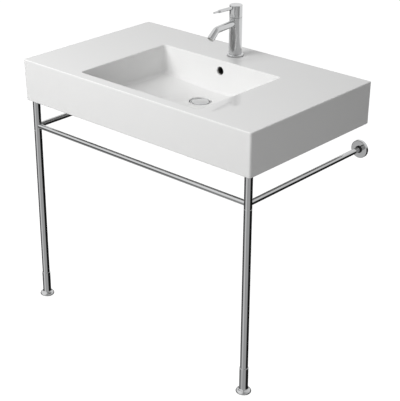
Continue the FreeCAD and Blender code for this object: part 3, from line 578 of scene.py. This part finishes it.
# ---------------------------------------------------------------- operators
class SINK_OT_materials(bpy.types.Operator):
    """Build the shared node groups and the six finishes"""

    bl_idname = "sink.materials"
    bl_label = "Make Finishes"

    def execute(self, context):
        finish = context.scene.sink_finish
        for build in (ripple_group, handling_group, turning_group, tone_group):
            build()
        glaze_material(finish)
        chrome_material(finish)
        machined_material("Machined Brass", finish.brass_colour, roughness=0.22, drift=0.78)
        machined_material("Zinc Plated Steel", finish.steel_colour, roughness=0.30, drift=0.85)
        moulded_material("Moulded Plastic", finish.plastic_colour, roughness=0.42, grain=0.000004)
        moulded_material("Black Rubber", finish.rubber_colour, roughness=0.62, grain=0.00001)
        return {"FINISHED"}


class SINK_OT_dress(bpy.types.Operator):
    """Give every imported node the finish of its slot"""

    bl_idname = "sink.dress"
    bl_label = "Dress Nodes"

    def execute(self, context):
        for name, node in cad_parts.items():
            slot = node.material_slots[0].material.name.split(".")[0]
            if slot not in SLOT_MATERIALS:
                raise RuntimeError(name + " has no known finish: " + slot)
            node.material_slots[0].material = finish_of(slot)
        return {"FINISHED"}


class SINK_OT_studs(bpy.types.Operator):
    """Cut the threads of the foot studs and of the stud that holds the tap"""

    bl_idname = "sink.studs"
    bl_label = "Thread Studs"

    def execute(self, context):
        detail = context.scene.sink_detail
        for node, body in (("foot_stud_left", "foot_left"), ("foot_stud_right", "foot_right"),
                           ("tap_fixing_stud", "console")):
            low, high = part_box(node)
            radius = (high.x - low.x) / 2
            centre = (low + high) / 2
            bm = thread_mesh(
                radius, detail.stud_pitch * detail.thread_share, detail.stud_pitch, high.z - low.z)
            lay(bm, (centre.x, centre.y, low.z))
            finish_piece(bm, node + "_threaded", "steel", body, (node,))
        return {"FINISHED"}


class SINK_OT_nuts(bpy.types.Operator):
    """Bevel the nuts under the deck and under the waste"""

    bl_idname = "sink.nuts"
    bl_label = "Shape Nuts"

    def execute(self, context):
        chamfer = context.scene.sink_detail.nut_chamfer
        for node, inside in (("tap_fixing_nut", "tap_fixing_stud"), ("waste_backnut", None)):
            low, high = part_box(node)
            centre = (low + high) / 2
            bore = waste_barrel_radius
            if inside:
                inner_low, inner_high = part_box(inside)
                bore = (inner_high.x - inner_low.x) / 2
            bm = nut_mesh(high.y - low.y, high.z - low.z, bore, chamfer)
            lay(bm, (centre.x, centre.y, low.z))
            finish_piece(bm, node + "_bevelled", "brass", "console", (node,))
        return {"FINISHED"}


class SINK_OT_waste_thread(bpy.types.Operator):
    """Raise the thread on the waste barrel, below its nut"""

    bl_idname = "sink.waste_thread"
    bl_label = "Thread Waste"

    def execute(self, context):
        detail = context.scene.sink_detail
        low = waste_low.z + thread_lead_in
        depth = detail.waste_pitch * detail.thread_share * waste_thread_share
        bm = thread_mesh(
            waste_barrel_radius + depth / 2, depth, detail.waste_pitch,
            waste_thread_length - thread_lead_in, waste_thread_sides)
        lay(bm, (0, drain_y, low))
        ends = [face for face in bm.faces if abs(face.normal.z) > thread_end_slope
                and len(face.verts) > thread_end_corners]
        bmesh.ops.delete(bm, geom=ends, context="FACES")
        finish_piece(bm, "waste_thread", "chrome", "console")
        return {"FINISHED"}


class SINK_OT_outlet(bpy.types.Operator):
    """Fit the grille into the spout's outlet"""

    bl_idname = "sink.outlet"
    bl_label = "Fit Outlet Grille"

    def execute(self, context):
        detail = context.scene.sink_detail
        bm = bmesh.new()
        radii = [outlet_radius * (ring + grille_hub) / (detail.grille_rings + grille_hub)
                 for ring in range(detail.grille_rings + 1)]
        points = [bm.verts.new((radius, 0, 0)) for radius in radii]
        edges = [bm.edges.new(pair) for pair in zip(points, points[1:])]
        bmesh.ops.spin(
            bm, geom=points + edges, cent=(0, 0, 0), axis=(0, 0, 1), angle=2 * math.pi,
            steps=detail.grille_spokes, use_merge=True)
        bmesh.ops.wireframe(
            bm, faces=bm.faces, thickness=grille_wire, use_replace=True, use_boundary=True,
            use_even_offset=True)
        bmesh.ops.recalc_face_normals(bm, faces=bm.faces)
        low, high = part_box("aerator")
        ahead = Vector((0, -math.cos(outlet_drop), -math.sin(outlet_drop)))
        centre = (low + high) / 2 + ahead * outlet_inset
        lay(bm, centre, ahead)
        finish_piece(bm, "outlet_grille", "plastic", "console")
        return {"FINISHED"}


class SINK_OT_foot_pads(bpy.types.Operator):
    """Turn the pads under the feet, with grip grooves in their soles"""

    bl_idname = "sink.foot_pads"
    bl_label = "Turn Foot Pads"

    def execute(self, context):
        for side in ("left", "right"):
            low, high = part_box("foot_pad_" + side)
            radius = (high.x - low.x) / 2
            tall = high.z - low.z
            outline = [(0, tall), (radius - pad_top_bevel, tall), (radius, tall - pad_top_bevel),
                       (radius, pad_sole_bevel), (radius - pad_sole_bevel, 0)]
            for step in pad_grooves:
                middle = radius * step / pad_steps
                for side_share, height in ((1, 0), (pad_groove_taper, pad_groove_depth),
                                           (-pad_groove_taper, pad_groove_depth), (-1, 0)):
                    outline.append((middle + side_share * pad_groove_half_width, height))
            outline.append((0, 0))
            bm = turned_mesh(outline)
            centre = (low + high) / 2
            lay(bm, (centre.x, centre.y, low.z))
            finish_piece(bm, "foot_sole_" + side, "plastic", "foot_" + side, ("foot_pad_" + side,))
        return {"FINISHED"}


class SINK_OT_stage(bpy.types.Operator):
    """Set up the floor, the room, the lamps and the camera"""

    bl_idname = "sink.stage"
    bl_label = "Set Stage"

    def execute(self, context):
        studio = context.scene.sink_studio
        make_floor(studio)
        make_wall_card()
        make_room(studio)
        make_lamps(studio)
        make_camera(studio)
        context.scene.view_settings.view_transform = "Standard"
        return {"FINISHED"}


# ---------------------------------------------------------------- studio
floor_radius = 9.0
floor_sides = 96
floor_glow = 0.94                    # its own light, as the camera sees it
floor_shadow_tone = 0.25             # how much of the lamps' light the camera sees on it
floor_z = -20.5 * MM                 # clear of the feet at the bottom of their travel

# What the chrome mirrors: brightness at directions round the room, in degrees to the right of the
# camera's side as seen from the sink. Ground is well below the sink, low is at and below its
# height, high is above.
room_ground = ((-180, 0.45), (40, 0.45), (54, 0.02), (172, 0.02), (180, 0.45))
room_low = ((-180, 0.06), (-82, 0.10), (-79, 0.62), (-71, 0.62), (-60, 0.85), (-40, 0.85),
            (-32, 0.55), (-14, 0.40), (-8, 0.52), (46, 0.50), (54, 0.01), (172, 0.01),
            (180, 0.06))
room_high = ((-180, 1.0), (-120, 1.0), (-70, 1.1), (-30, 0.9), (0, 0.35), (30, 0.5),
             (90, 0.8), (180, 1.0))

# A strip of the white wall behind the tap, which only the polished surfaces mirror.
card_low = Vector((-0.45, wall_y + 0.02, 0.66))
card_high = Vector((0.43, wall_y + 0.02, 1.15))
card_glow = 1.0

# Upward share of a direction over which one height of the room gives way to the next.
ground_to_low = (-0.62, -0.50)
low_to_high = (-0.10, 0.25)


def grey(level):
    return (level, level, level, 1.0)


def glow_shader(tree, strength):
    glow = add_node(tree, "ShaderNodeEmission", inputs={"Color": grey(1.0), "Strength": strength})
    return glow.outputs[0]


def diffuse_shader(tree, tone):
    return add_node(tree, "ShaderNodeBsdfDiffuse", inputs={"Color": grey(tone)}).outputs[0]


def stage_object(name, bm, material):
    """Object in the studio made from a bmesh."""
    mesh = bpy.data.meshes.new(name)
    bm.to_mesh(mesh)
    bm.free()
    mesh.materials.append(material)
    made = bpy.data.objects.new(name, mesh)
    bpy.context.scene.collection.objects.link(made)
    return made


def make_floor(studio):
    """White to the camera with the object's shadow, pale to the light, clear from below."""
    bm = bmesh.new()
    bmesh.ops.create_circle(bm, segments=floor_sides, radius=floor_radius,
                            matrix=Matrix.Translation((0, 0, floor_z)), cap_ends=True)
    material = bpy.data.materials.new("Pale Floor")
    tree = cleared_tree(material)
    seen = add_node(tree, "ShaderNodeAddShader", inputs={
        0: diffuse_shader(tree, floor_shadow_tone), 1: glow_shader(tree, floor_glow)})
    path = add_node(tree, "ShaderNodeLightPath")
    above = pick_shader(tree, path.outputs["Is Camera Ray"],
                        diffuse_shader(tree, studio.floor_tone), seen.outputs[0])
    face = add_node(tree, "ShaderNodeNewGeometry")
    clear = add_node(tree, "ShaderNodeBsdfTransparent")
    surface = pick_shader(tree, face.outputs["Backfacing"], above, clear.outputs[0])
    add_node(tree, "ShaderNodeOutputMaterial", inputs={"Surface": surface})
    floor = stage_object("floor", bm, material)
    floor.visible_glossy = False


def make_wall_card():
    """Glowing strip that only polished surfaces mirror."""
    size = card_high - card_low
    upright = Matrix.Rotation(math.pi / 2, 4, "X")
    place = Matrix.Translation((card_low + card_high) / 2) @ upright
    bm = bmesh.new()
    bmesh.ops.create_grid(bm, x_segments=1, y_segments=1, size=0.5)
    bmesh.ops.scale(bm, vec=(size.x, size.z, 1), verts=bm.verts)
    bmesh.ops.transform(bm, matrix=place, verts=bm.verts)
    material = bpy.data.materials.new("White Card")
    tree = cleared_tree(material)
    add_node(tree, "ShaderNodeOutputMaterial", inputs={"Surface": glow_shader(tree, card_glow)})
    card = stage_object("wall_card", bm, material)
    card.visible_camera = False
    card.visible_diffuse = False
    card.visible_shadow = False
    card.visible_transmission = False


def room_ramp(tree, factor, bands):
    """Brightness from a direction round the room, by a list of (degrees, brightness)."""
    ramp = add_node(tree, "ShaderNodeValToRGB")
    elements = ramp.color_ramp.elements
    while len(elements) > 1:
        elements.remove(elements[-1])
    for index, (degrees, bright) in enumerate(bands):
        place = degrees / 360 + 0.5
        element = elements[0] if index == 0 else elements.new(place)
        element.position = place
        element.color = grey(bright)
    wire(tree, factor, ramp.inputs["Fac"])
    return ramp.outputs["Color"]


def backdrop(tree, colour, strength=1.0):
    """World shader of a colour."""
    sky = add_node(tree, "ShaderNodeBackground", inputs={"Color": colour, "Strength": strength})
    return sky.outputs[0]


def make_room(studio):
    """World: white to the camera, bright and dark panels to the chrome, plain light otherwise."""
    world = bpy.data.worlds.new("Studio Room")
    bpy.context.scene.world = world
    tree = cleared_tree(world)
    direction = add_node(tree, "ShaderNodeTexCoord").outputs["Generated"]
    a = studio.camera_azimuth
    sides = []
    for axis in ((math.cos(a), math.sin(a), 0), (math.sin(a), -math.cos(a), 0)):
        side = add_node(tree, "ShaderNodeVectorMath", operation="DOT_PRODUCT",
                        inputs={0: direction, 1: axis})
        sides.append(side.outputs["Value"])
    turn = calculate(tree, "ARCTAN2", *sides)
    share = calculate(tree, "MULTIPLY_ADD", turn, 1 / (2 * math.pi), 0.5)
    upward = separated(tree, direction)["Z"]
    ground, low, high = (room_ramp(tree, share, bands)
                         for bands in (room_ground, room_low, room_high))
    mirrored = mix(tree, rise(tree, upward, *low_to_high), low, high)
    mirrored = mix(tree, rise(tree, upward, *ground_to_low), ground, mirrored)
    path = add_node(tree, "ShaderNodeLightPath").outputs
    polished = calculate(tree, "MAXIMUM", path["Is Glossy Ray"], path["Is Transmission Ray"])
    unseen = pick_shader(tree, polished, backdrop(tree, grey(1.0), studio.ambient),
                         backdrop(tree, mirrored))
    surface = pick_shader(tree, path["Is Camera Ray"], unseen, backdrop(tree, grey(1.0)))
    add_node(tree, "ShaderNodeOutputWorld", inputs={"Surface": surface})


key_place = Vector((-0.75, -2.10, 2.35))
key_size = 1.7
fill_place = Vector((2.40, -0.90, 0.95))
fill_size = 0.8
lamp_target = Vector((0.0, 0.0, 0.75))


def make_lamps(studio):
    """Soft square lamps that no polished surface mirrors."""
    for name, place, size, power in (
            ("key", key_place, key_size, studio.key_power),
            ("fill", fill_place, fill_size, studio.fill_power)):
        lamp = bpy.data.lights.new(name, "AREA")
        lamp.shape = "SQUARE"
        lamp.size = size
        lamp.energy = power
        holder = bpy.data.objects.new(name, lamp)
        holder.location = place
        holder.rotation_euler = (place - lamp_target).to_track_quat("Z", "Y").to_euler()
        holder.visible_glossy = False
        bpy.context.scene.collection.objects.link(holder)


def make_camera(studio):
    """The camera that was fitted to the reference picture."""
    a = studio.camera_azimuth
    e = studio.camera_elevation
    roll = studio.camera_roll
    back = Vector((math.sin(a) * math.cos(e), -math.cos(a) * math.cos(e), math.sin(e)))
    level_right = Vector((math.cos(a), math.sin(a), 0))
    level_up = back.cross(level_right)
    right = level_right * math.cos(roll) + level_up * math.sin(roll)
    up = back.cross(right)
    camera = bpy.data.cameras.new("camera")
    camera.sensor_width = 36
    camera.lens = studio.lens
    holder = bpy.data.objects.new("camera", camera)
    turn = Matrix((right, up, back)).transposed()
    holder.matrix_world = Matrix.Translation(Vector(studio.camera_place)) @ turn.to_4x4()
    bpy.context.scene.collection.objects.link(holder)
    bpy.context.scene.camera = holder


# ---------------------------------------------------------------- panel and registration
class SINK_PT_panel(bpy.types.Panel):
    """Settings and steps of the sink's dressing"""

    bl_idname = "SINK_PT_panel"
    bl_label = "Console Sink"
    bl_space_type = "VIEW_3D"
    bl_region_type = "UI"
    bl_category = "Sink"

    def draw(self, context):
        for group in ("sink_finish", "sink_detail", "sink_studio"):
            settings = getattr(context.scene, group)
            box = self.layout.box()
            for name in settings.bl_rna.properties.keys():
                if name not in ("name", "rna_type"):
                    box.prop(settings, name)
        for operator in OPERATORS:
            self.layout.operator(operator.bl_idname)


GROUPS = (("sink_finish", SinkFinish), ("sink_detail", SinkDetail), ("sink_studio", SinkStudio))
OPERATORS = (SINK_OT_materials, SINK_OT_dress, SINK_OT_studs, SINK_OT_nuts, SINK_OT_waste_thread,
             SINK_OT_outlet, SINK_OT_foot_pads, SINK_OT_stage)


def register():
    for name, group in GROUPS:
        bpy.utils.register_class(group)
        setattr(bpy.types.Scene, name, bpy.props.PointerProperty(type=group))
    for kind in OPERATORS + (SINK_PT_panel,):
        bpy.utils.register_class(kind)


def unregister():
    for kind in reversed(OPERATORS + (SINK_PT_panel,)):
        bpy.utils.unregister_class(kind)
    for name, group in reversed(GROUPS):
        delattr(bpy.types.Scene, name)
        bpy.utils.unregister_class(group)


def main():
    register()
    bpy.ops.sink.materials()
    bpy.ops.sink.dress()
    bpy.ops.sink.studs()
    bpy.ops.sink.nuts()
    bpy.ops.sink.waste_thread()
    bpy.ops.sink.outlet()
    bpy.ops.sink.foot_pads()
    bpy.ops.sink.stage()


if __name__ == "__main__":
    main()
